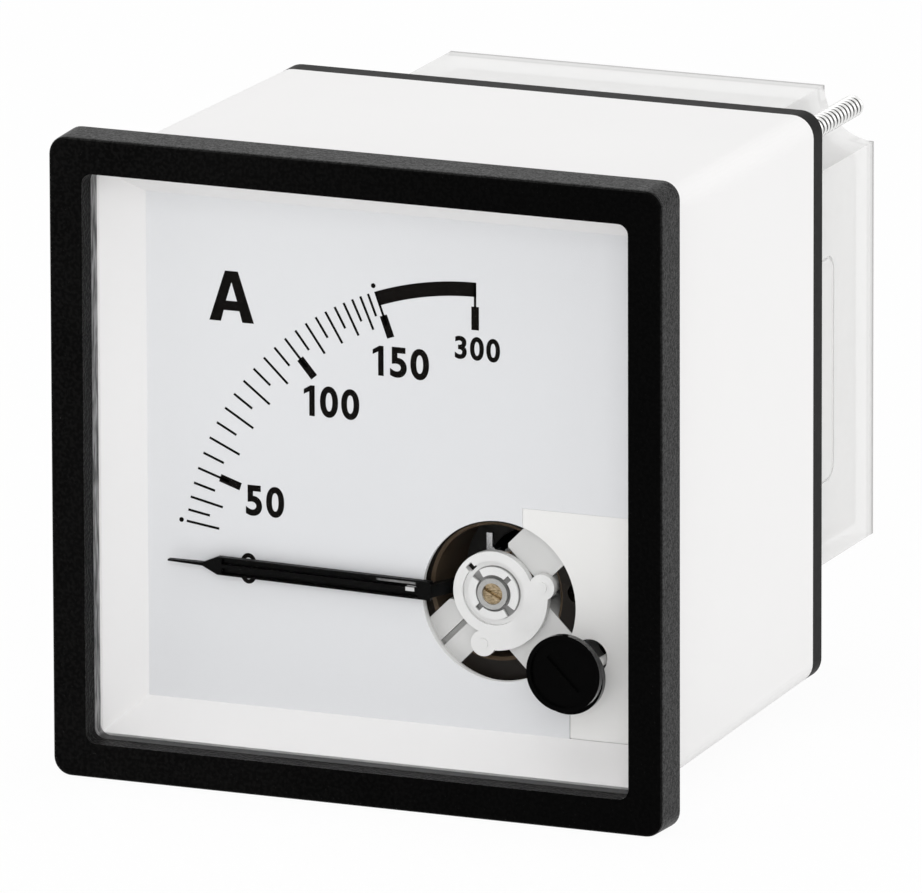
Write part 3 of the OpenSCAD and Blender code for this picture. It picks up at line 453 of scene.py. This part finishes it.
band_width, dot_r = 0.0016, 0.00027
printed_arc(ink_sheet, scale_r - band_width, scale_r, scale_angle(rated_load) - 0.1, scale_angle(300) + 0.25)
printed_dot(ink_sheet, scale_angle(30), scale_r + 0.00062, dot_r)
printed_dot(ink_sheet, scale_angle(rated_load), scale_r + 0.00068, dot_r)
bmesh.ops.recalc_face_normals(ink_sheet, faces=ink_sheet.faces)
scale_mesh = bpy.data.meshes.new("dial_scale")
ink_sheet.to_mesh(scale_mesh)
ink_sheet.free()
dial_scale = link_piece("dial_scale", scale_mesh)
dial_ink.on_piece(dial_scale)
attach(dial_scale, "base")

# ---- Numerals ----
# The numbers and the unit are printed with the same ink in a bold, narrow face without serifs,
# upright on the plate.


def printed_figure(curve, x, z, width, height):
    """A curve's closed figure in ink, centred at x and z on the dial and this wide and high, in mm."""
    curve.extrude = 0.01
    host = link_piece("figure", curve)
    bpy.context.view_layer.update()
    mesh = bpy.data.meshes.new_from_object(host.evaluated_get(bpy.context.evaluated_depsgraph_get()))
    bpy.data.objects.remove(host)
    low = [min(v.co[i] for v in mesh.vertices) for i in range(3)]
    high = [max(v.co[i] for v in mesh.vertices) for i in range(3)]
    for v in mesh.vertices:
        a, b, c = ((v.co[i] - low[i]) / (high[i] - low[i]) for i in range(3))
        v.co = ((x + width * (a - 0.5)) / 1000, dial_y - ink_t * c, (z + height * (b - 0.5)) / 1000)
    return mesh


def typeset(figure, weight):
    text = bpy.data.curves.new("figure", "FONT")
    text.body = figure
    text.offset = weight
    text.resolution_u = 6
    return text


def drawn(outlines):
    """A figure by its outlines, in shares of its width and height; an outline inside one is a hole."""
    curve = bpy.data.curves.new("figure", "CURVE")
    curve.dimensions = "2D"
    curve.fill_mode = "BOTH"
    for outline in outlines:
        spline = curve.splines.new("POLY")
        spline.points.add(len(outline) - 1)
        for point, (a, b) in zip(spline.points, outline):
            point.co = (a, b, 0, 1)
        spline.use_cyclic_u = True
    return curve


one_outlines = (((0.5, 0), (1, 0), (1, 1), (0.62, 1), (0, 0.86), (0, 0.7), (0.5, 0.8)),)
ampere_outlines = (((0, 0), (0.26, 0), (0.325, 0.22), (0.675, 0.22), (0.74, 0), (1, 0),
                    (0.645, 1), (0.355, 1)),
                   ((0.375, 0.41), (0.625, 0.41), (0.5, 0.78)))
light, bold = 0.004, 0.03
first_column_x = -16
numeral_sheet = bmesh.new()
for figure, x, z, width, height in (
        ("A", -18.3, 17.43, 5.28, 5.67), ("0", -16.46, -12.96, 2.12, 3.46),
        ("5", -15.78, -5.26, 1.92, 3.46), ("0", -13.26, -5.23, 2.14, 3.48),
        ("1", -9.16, 6.62, 1.28, 3.43), ("0", -6.83, 6.64, 2.14, 3.52), ("0", -4.32, 6.6, 2.14, 3.46),
        ("1", -1.01, 11.85, 1.28, 3.35), ("5", 1.37, 11.84, 1.98, 3.42), ("0", 3.88, 11.84, 2.2, 3.5),
        ("3", 8.71, 14.21, 1.4, 2.58), ("0", 10.61, 14.22, 1.63, 2.64), ("0", 12.51, 14.19, 1.62, 2.64)):
    outlines = {"A": ampere_outlines, "1": one_outlines}.get(figure)
    curve = drawn(outlines) if outlines else typeset(figure, light if x < first_column_x else bold)
    mesh = printed_figure(curve, x, z, width, height)
    numeral_sheet.from_mesh(mesh)
    bpy.data.meshes.remove(mesh)
bmesh.ops.remove_doubles(numeral_sheet, verts=numeral_sheet.verts, dist=1e-7)
bmesh.ops.recalc_face_normals(numeral_sheet, faces=numeral_sheet.faces)
numeral_mesh = bpy.data.meshes.new("dial_numerals")
numeral_sheet.to_mesh(numeral_mesh)
numeral_sheet.free()
dial_numerals = link_piece("dial_numerals", numeral_mesh)
dial_ink.on_piece(dial_numerals)
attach(dial_numerals, "base")

# ---- Dial carrier ----
# A white moulding behind the dial plate, screwed to the movement. Its raised corner comes level
# with the plate's face and shows as a slightly warmer white beside it.

carrier_white = Finish("carrier_white", {"Specular IOR Level": 0.35})
carrier_white.vary("Base Color", carrier_white.tint((0.83, 0.827, 0.815, 1), (0.85, 0.845, 0.832, 1),
                                                    carrier_white.cloud(16, 3)))
carrier_white.vary("Roughness", carrier_white.cloud(2, 2) * 0.12 + 0.4)
carrier_white.relief(carrier_white.cloud(0.5, 2), 0.004, 0.5)
carrier_white.on_nodes("dial_carrier")

# ---- Bridge and frame ----
# The front bearing's bridge and the arms behind it are moulded in natural nylon: bright, a little
# glassy, and joined by heat-staked pins at the bridge's two ears.

bridge_white = Finish("bridge_white", {"Specular IOR Level": 0.5})
behind_front = bridge_white.along(1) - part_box("front_bridge")[0].y
slot_mouth, slot_floor = 0.00012, 0.0004
slots_end_r, trough_r = 0.00296, 0.0031
# Painted shade: the slots in the bridge's hub are painted dark grey, as if in shadow.
painted_slot_shade = (bridge_white.between(behind_front, slot_mouth, slot_floor)
            * (1 - bridge_white.between(bridge_white.from_line(spindle), slots_end_r, trough_r)))
bridge_milk = bridge_white.tint((0.72, 0.72, 0.715, 1), (0.86, 0.86, 0.855, 1), bridge_white.cloud(3, 3))
# Painted shade: the nylon's base colour darkens towards grey the deeper a face lies behind the bridge's
# front.
bridge_painted_depth_shade = bridge_white.tint(bridge_milk, (0.54, 0.54, 0.53, 1),
                                bridge_white.between(behind_front, 0.0003, 0.0016))
bridge_white.vary("Base Color", bridge_white.tint(bridge_painted_depth_shade, (0.13, 0.128, 0.125, 1), painted_slot_shade * 0.85))
bridge_white.vary("Roughness", bridge_white.cloud(1.5, 2) * 0.14 + 0.3)
bridge_white.relief(bridge_white.cloud(1.1, 3), 0.02, 0.6)
bridge_white.on_nodes("front_bridge", "spider_frame")

# ---- Bearings ----
# Turned tubes hold the jewel screws: slotted brass screws with a synthetic ruby cup in their end,
# in which the spindle's points run.

bush_metal = Finish("bush_metal", {"Metallic": 0.6, "Specular IOR Level": 0.5})
bush_lines = bush_metal.cloud(0.25, 2, (1, 6, 1))
bush_metal.vary("Base Color", bush_metal.tint((0.36, 0.36, 0.355, 1), (0.5, 0.5, 0.49, 1), bush_lines))
bush_metal.vary("Roughness", bush_lines * 0.15 + 0.32)
bush_metal.relief(bush_lines, 0.01, 0.5)
bush_metal.on_nodes("front_bearing_bush", "rear_bearing_bush")

screw_brass = Finish("screw_brass", {"Metallic": 1.0})
screw_marks = screw_brass.cloud(0.35, 4, (1, 1, 3))
screw_brass.vary("Base Color", screw_brass.tint((0.2, 0.145, 0.08, 1), (0.56, 0.45, 0.3, 1),
                                                screw_brass.between(screw_marks, 0.3, 0.75)))
screw_brass.vary("Roughness", screw_marks * 0.25 + 0.2)
screw_brass.relief(screw_marks, 0.03, 0.8)
screw_brass.on_nodes("front_jewel_screw", "rear_jewel_screw")

jewel_red = Finish("jewel_red", {"Transmission Weight": 0.6, "IOR": 1.76})
jewel_red.vary("Base Color", jewel_red.tint((0.55, 0.02, 0.05, 1), (0.75, 0.06, 0.1, 1),
                                            jewel_red.cloud(0.5, 2)))
jewel_red.vary("Roughness", jewel_red.cloud(0.3, 1) * 0.05 + 0.03)
jewel_red.on_nodes("front_jewel", "rear_jewel")

# ---- Coil, its housing and the damping chamber ----
# The dark housing is compression-moulded and dull; it holds the bobbin, wound with enamelled copper
# wire, and the closed chamber in which the damping vane sweeps.

housing_dark = Finish("housing_dark", {"Specular IOR Level": 0.15})
housing_patches = housing_dark.cloud(3.5, 4)
# Painted highlight: a patchy brownish ring is painted on the well's chamfered front edge, where it catches
# the light.
well_chamfer = (0.00736, 0.0074, 0.00772, 0.00778)
well_edge_painted_highlight = housing_dark.band(housing_dark.from_line(spindle), *well_chamfer)
housing_dark.vary("Base Color", housing_dark.tint(
    housing_dark.tint((0.003, 0.0026, 0.0022, 1), (0.011, 0.0075, 0.005, 1), housing_patches),
    (0.12, 0.085, 0.055, 1), well_edge_painted_highlight * (housing_patches * 0.8 + 0.3)))
housing_dark.vary("Roughness", housing_patches * 0.25 + 0.3)
housing_dark.relief(housing_dark.cloud(0.7, 3), 0.02, 0.7)
housing_dark.on_nodes("coil_housing")

bobbin_dark = Finish("bobbin_dark", {"Specular IOR Level": 0.4})
bobbin_dark.vary("Base Color", bobbin_dark.tint((0.012, 0.011, 0.01, 1), (0.024, 0.022, 0.02, 1),
                                                bobbin_dark.cloud(4, 3)))
bobbin_dark.vary("Roughness", bobbin_dark.cloud(1, 2) * 0.15 + 0.4)
bobbin_dark.relief(bobbin_dark.cloud(0.4, 2), 0.01, 0.6)
bobbin_dark.on_nodes("coil_bobbin", "damping_chamber")

winding_copper = Finish("winding_copper", {"Metallic": 0.85, "Coat Roughness": 0.1})
wire_mm = 1.2
turns = winding_copper.sum("PINGPONG", winding_copper.along(1) * 1000 / wire_mm, 0.5)
# Painted shade: the copper is painted darker where neighbouring turns meet, as if shaded in the creases
# between them.
winding_copper.vary("Base Color", winding_copper.tint((0.28, 0.08, 0.03, 1), (0.6, 0.25, 0.11, 1),
                                                      turns * 2))
winding_copper.vary("Coat Weight", winding_copper.cloud(2, 2) * 0.3 + 0.5)
winding_copper.vary("Roughness", winding_copper.cloud(1, 2) * 0.15 + 0.25)
winding_copper.relief(turns ** 0.5, 0.5, 1.0)
winding_copper.on_nodes("coil_winding")

# ---- Moving system ----
# On the steel spindle sit both vanes, the balance arms with their weights, and the bronze hairspring,
# whose outer end is soldered to the zero lever. The moving vane has the aluminium finish of the
# damping vane, the weights have the spring's, and the collet and the lever have the spindle's.

vane_iron = Finish("vane_iron", {"Metallic": 0.9})
vane_iron.vary("Base Color", vane_iron.tint((0.34, 0.34, 0.35, 1), (0.48, 0.48, 0.5, 1),
                                            vane_iron.cloud(1.5, 4)))
vane_iron.vary("Roughness", vane_iron.cloud(0.6, 3) * 0.25 + 0.35)
vane_iron.relief(vane_iron.cloud(0.3, 2), 0.006, 0.6)
vane_iron.on_nodes("fixed_vane")

spindle_steel = Finish("spindle_steel", {"Metallic": 1.0})
steel_lines = spindle_steel.cloud(0.15, 2, (1, 8, 1))
spindle_steel.vary("Base Color", spindle_steel.tint((0.5, 0.5, 0.51, 1), (0.66, 0.66, 0.67, 1), steel_lines))
spindle_steel.vary("Roughness", steel_lines * 0.15 + 0.18)
spindle_steel.on_nodes("spindle", "spring_collet", "zero_lever")

vane_aluminium = Finish("vane_aluminium", {"Metallic": 0.95})
rolled = vane_aluminium.cloud(0.5, 3, (1, 1, 9))
vane_aluminium.vary("Base Color", vane_aluminium.tint((0.68, 0.69, 0.7, 1), (0.8, 0.81, 0.82, 1), rolled))
vane_aluminium.vary("Roughness", rolled * 0.2 + 0.28)
vane_aluminium.relief(rolled, 0.004, 0.5)
vane_aluminium.on_nodes("moving_vane", "damping_vane", "balance_arms")

spring_bronze = Finish("spring_bronze", {"Metallic": 1.0})
spring_bronze.vary("Base Color", spring_bronze.tint((0.45, 0.26, 0.12, 1), (0.6, 0.38, 0.2, 1),
                                                    spring_bronze.cloud(1, 3)))
spring_bronze.vary("Roughness", spring_bronze.cloud(0.4, 2) * 0.15 + 0.2)
spring_bronze.on_nodes("hairspring", "balance_weights", "counterweight")

# ---- Pointer ----
# A lance of thin black-painted aluminium, creased lengthwise for stiffness, with a needle tip that
# reads against the scale.

pointer_black = Finish("pointer_black", {"Specular IOR Level": 0.05})
rest_slope = 0.0175
from_pivot = (spindle.x - pointer_black.along(0)) * 1000
off_line = (pointer_black.along(2) - spindle.z) * 1000 - from_pivot * rest_slope
# Painted highlights: a streak along the upper crease and a short band near the root are made bright grey and
# metallic, standing in for glints on the glossy lance.
streak_along, streak_across = (8.3, 8.6, 12.6, 13.2), (0.42, 0.46, 0.66, 0.74)
spot_along = (8.35, 8.4, 9.4, 9.45)
painted_glint_streak = (pointer_black.band(from_pivot, *streak_along)
                * pointer_black.band(off_line, *streak_across))
painted_glint_spot = (pointer_black.band(from_pivot, *spot_along)
             * (1 - pointer_black.between(pointer_black.sum("ABSOLUTE", off_line), 0.24, 0.28)))
painted_glints = painted_glint_streak * pointer_black.cloud(0.8, 2) * 0.9 + painted_glint_spot
pointer_black.vary("Base Color", pointer_black.tint(
    pointer_black.tint((0.001, 0.001, 0.001, 1), (0.003, 0.003, 0.003, 1), pointer_black.cloud(1.5, 3)),
    (0.62, 0.62, 0.62, 1), painted_glints))
pointer_black.vary("Metallic", painted_glints)
pointer_black.vary("Roughness", pointer_black.cloud(0.8, 2) * 0.15 + 0.25)
pointer_black.relief(pointer_black.cloud(0.4, 2, (0.2, 1, 1)), 0.006, 0.6)
pointer_black.on_nodes("pointer")

# ---- Zero adjuster ----
# A black polished disc with a raised rim and a short stem through the window. The cam on its rear
# end carries a white nylon pin, which swings the zero lever when the disc is turned by its slot.

adjuster_black = Finish("adjuster_black", {"Specular IOR Level": 0.02, "Coat Roughness": 0.12})
adjuster_round = 1 - adjuster_black.between(adjuster_black.facing(1), 0.8, 0.97)
behind_disc = adjuster_black.along(1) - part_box("zero_adjuster")[1].y
adjuster_pin = adjuster_black.between(behind_disc, 0.00002, 0.0001)
adjuster_head = adjuster_black.tint((0.0006, 0.0006, 0.0006, 1), (0.0014, 0.0014, 0.0014, 1),
                                    adjuster_black.cloud(2, 3))
adjuster_black.vary("Base Color", adjuster_black.tint(adjuster_head, (0.84, 0.835, 0.82, 1), adjuster_pin))
adjuster_black.vary("Coat Weight", adjuster_round * (1 - adjuster_pin) * 0.8)
adjuster_black.vary("Roughness", adjuster_black.cloud(1.2, 2) * 0.1 + 0.12)
adjuster_black.relief(adjuster_black.cloud(0.9, 3), 0.006, 0.4)
adjuster_black.on_nodes("zero_adjuster", "adjuster_cam")

# ---- Rear plate ----
# A black plate closes the case at the back and carries the terminals; its edge shows all round as
# a thin dark line with the same moulded grain as the bezel.

rear_black = Finish("rear_black", {"Specular IOR Level": 0.06})
rear_black.vary("Base Color", rear_black.tint((0.0035, 0.0034, 0.0032, 1), (0.009, 0.0087, 0.0083, 1),
                                              rear_black.cloud(8, 3)))
rear_black.vary("Roughness", rear_black.cloud(0.8, 2) * 0.12 + 0.42)
rear_black.relief(rear_black.cloud(0.25, 2), 0.012, 0.8)
rear_black.on_nodes("rear_plate")

# ---- Screws and studs ----
# Bright zinc-plated steel. The two long studs take the clamps that pull the bezel against the panel,
# so their rolled thread runs the whole free length and ends in a chamfer.

zinc_steel = Finish("zinc_steel", {"Metallic": 1.0})
zinc_spangle = zinc_steel.cloud(0.6, 3)
zinc_steel.vary("Base Color", zinc_steel.tint((0.58, 0.58, 0.57, 1), (0.78, 0.78, 0.79, 1), zinc_spangle))
zinc_steel.vary("Roughness", zinc_spangle * 0.2 + 0.16)
zinc_steel.on_nodes("carrier_screws", "housing_screws", "case_screws", "mounting_studs",
                    "terminal_washers")

thread_zinc = Finish("thread_zinc", {"Metallic": 1.0})
thread_groove = thread_zinc.node("ShaderNodeAttribute", {"attribute_name": "groove"}, {}, "Fac")
# Painted shade: the thread's grooves are painted almost black against near-white crests.
thread_zinc.vary("Base Color", thread_zinc.tint(
    (0.86, 0.86, 0.85, 1), (0.012, 0.011, 0.01, 1),
    thread_zinc.between(thread_groove + thread_zinc.cloud(0.7, 2) * 0.3, 0.45, 0.85)))
thread_zinc.vary("Roughness", thread_groove * 0.3 + thread_zinc.cloud(0.5, 2) * 0.15 + 0.1)


def thread_tree():
    """A threaded rod that stands up from a point along Z, its crests at the full radius."""
    plan, given, keys = named_tree("threaded_rod", {
        "Radius": "Float", "Length": "Float", "Pitch": "Float", "Depth": "Float", "Chamfer": "Float",
        "Rings": "Int", "Metal": "Material"})
    sides = 28
    bar = plan.node("GeometryNodeMeshCylinder", {}, {
        "Vertices": sides, "Side Segments": given.also("Rings"), "Radius": given.also("Radius"),
        "Depth": given.also("Length")})
    spot = plan.node("GeometryNodeInputPosition")
    across = plan.node("ShaderNodeSeparateXYZ", {}, {0: spot})
    height = across.also("Z") + given.also("Length") / 2
    around = plan.sum("ARCTAN2", across.also("Y"), across) / (2 * math.pi)
    groove = plan.sum("PINGPONG", height / given.also("Pitch") - around, 0.5) * 2
    shaped = plan.node("ShaderNodeMapRange", {"interpolation_type": "SMOOTHSTEP"},
                       {"Value": groove, "From Min": 0.15, "From Max": 0.85})
    to_end = (given.also("Length") - height) / given.also("Chamfer")
    tip_share = 0.74
    end = plan.sum("MINIMUM", to_end, 1.0) * (1 - tip_share) + tip_share
    factor = plan.sum("MINIMUM", 1 - shaped * given.also("Depth") / given.also("Radius"), end)
    moved = plan.node("ShaderNodeCombineXYZ", {}, {0: across * factor, 1: across.also("Y") * factor,
                                                   2: height})
    marked_bar = plan.node("GeometryNodeStoreNamedAttribute", {"data_type": "FLOAT", "domain": "POINT"},
                           {"Geometry": bar, "Name": "groove", "Value": shaped})
    shaped_bar = plan.node("GeometryNodeSetPosition", {}, {"Geometry": marked_bar, "Position": moved})
    end_tree(plan, shaped_bar, given.also("Metal"))
    return plan.tree, keys


rod_tree, rod_keys = thread_tree()
rings_per_turn = 10


def threaded_rods(name, metal, places, start_y, end_y, radius, pitch, depth):
    rods = bmesh.new()
    length = end_y - start_y
    for x, z in places:
        mesh = grown(name, rod_tree, rod_keys, {
            "Radius": radius, "Length": length, "Pitch": pitch, "Depth": depth, "Chamfer": radius * 0.35,
            "Rings": int(length / pitch * rings_per_turn), "Metal": metal.material})
        mesh.transform(Matrix.Translation((x, start_y, z)) @ Matrix.Rotation(-math.pi / 2, 4, "X"))
        rods.from_mesh(mesh)
        bpy.data.meshes.remove(mesh)
    for face in rods.faces:
        face.smooth = True
    mesh = bpy.data.meshes.new(name)
    rods.to_mesh(mesh)
    rods.free()
    piece = link_piece(name, mesh)
    metal.on_piece(piece)
    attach(piece, "base")
    return piece


stud_low, stud_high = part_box("mounting_studs")
stud_r, thread_pitch, thread_depth = 0.00125, 0.001, 0.0003
stud_x = stud_high.x - stud_r
stud_thread = threaded_rods("mounting_stud_thread", thread_zinc, ((stud_x, stud_x), (-stud_x, -stud_x)),
                            stud_low.y, stud_high.y, stud_r, thread_pitch, thread_depth)
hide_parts("mounting_studs")

# ---- Terminals ----
# Turned brass studs and nuts under the cover, joined to the coil by bent copper straps. The washers
# between them are zinc-plated like the screws.

brass_yellow = Finish("brass_yellow", {"Metallic": 1.0})
brass_lines = brass_yellow.cloud(0.2, 3, (1, 1, 5))
brass_yellow.vary("Base Color", brass_yellow.tint((0.42, 0.31, 0.14, 1), (0.66, 0.54, 0.3, 1), brass_lines))
brass_yellow.vary("Roughness", brass_lines * 0.2 + 0.22)
brass_yellow.relief(brass_lines, 0.008, 0.6)
brass_yellow.on_nodes("terminal_nuts")

stud_brass = Finish("stud_brass", {"Metallic": 1.0})
stud_pitch_mm = 0.7
stud_turns = stud_brass.sum("PINGPONG", stud_brass.along(1) * 1000 / stud_pitch_mm, 0.5) * 2
# Painted shade: the brass is painted dark in the thread's valleys, as if shaded there.
stud_brass.vary("Base Color", stud_brass.tint((0.2, 0.13, 0.05, 1), (0.7, 0.56, 0.3, 1),
                                              stud_turns * 0.8 + stud_brass.cloud(0.6, 2) * 0.2))
stud_brass.vary("Roughness", stud_brass.cloud(0.5, 2) * 0.2 + 0.2)
stud_brass.relief(stud_turns, 0.35)
stud_brass.on_nodes("terminal_studs")

strap_copper = Finish("strap_copper", {"Metallic": 1.0})
strap_copper.vary("Base Color", strap_copper.tint((0.5, 0.22, 0.11, 1), (0.68, 0.34, 0.2, 1),
                                                  strap_copper.cloud(2, 4)))
strap_copper.vary("Roughness", strap_copper.cloud(0.7, 3) * 0.25 + 0.28)
strap_copper.relief(strap_copper.cloud(0.5, 2, (1, 1, 6)), 0.006, 0.5)
strap_copper.on_nodes("terminal_straps")

# ---- Terminal cover ----
# A thin tray of milky polypropylene pushed over the terminals. Light passes through its walls, so
# the back wall, the knock-outs and the edges show softly.

cover_milky = Finish("cover_milky", {"Specular IOR Level": 0.4})
cover_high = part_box("terminal_cover")[1]
in_x = cover_high.x - cover_milky.sum("ABSOLUTE", cover_milky.along(0))
in_z = cover_high.z - cover_milky.sum("ABSOLUTE", cover_milky.along(2))
in_y = cover_high.y - cover_milky.along(1)
nearer = cover_milky.sum("MINIMUM", in_x, in_z)
farther = cover_milky.sum("MAXIMUM", in_x, in_z)
from_edge = cover_milky.sum("MAXIMUM", nearer, cover_milky.sum("MINIMUM", farther, in_y)) * 1000
# Painted shade: the base colour is darkened along the tray's edges and, faintly, in a band just inside them
# where the walls show through the milky plastic.
edge_line = 1 - cover_milky.between(from_edge, 0.35, 0.75)
wall_line = cover_milky.band(from_edge, 1.3, 1.7, 1.9, 2.5)
cover_patches = cover_milky.cloud(18, 3)
cover_white = cover_milky.tint((0.92, 0.915, 0.908, 1), (0.96, 0.957, 0.95, 1), cover_patches)
cover_milky.vary("Base Color", cover_milky.tint(cover_white, (0.34, 0.335, 0.33, 1),
                                                edge_line * 0.8 + wall_line * 0.2))
cover_grazed = cover_milky.node("ShaderNodeLayerWeight", {}, {"Blend": 0.4}, "Facing")
cover_milky.vary("Alpha", cover_grazed * 0.4 + cover_patches * 0.06 + edge_line * 0.25 + 0.32)
cover_milky.vary("Roughness", cover_milky.cloud(2, 2) * 0.15 + 0.3)
cover_milky.relief(cover_milky.cloud(1.4, 2), 0.01, 0.4)
cover_milky.on_nodes("terminal_cover")
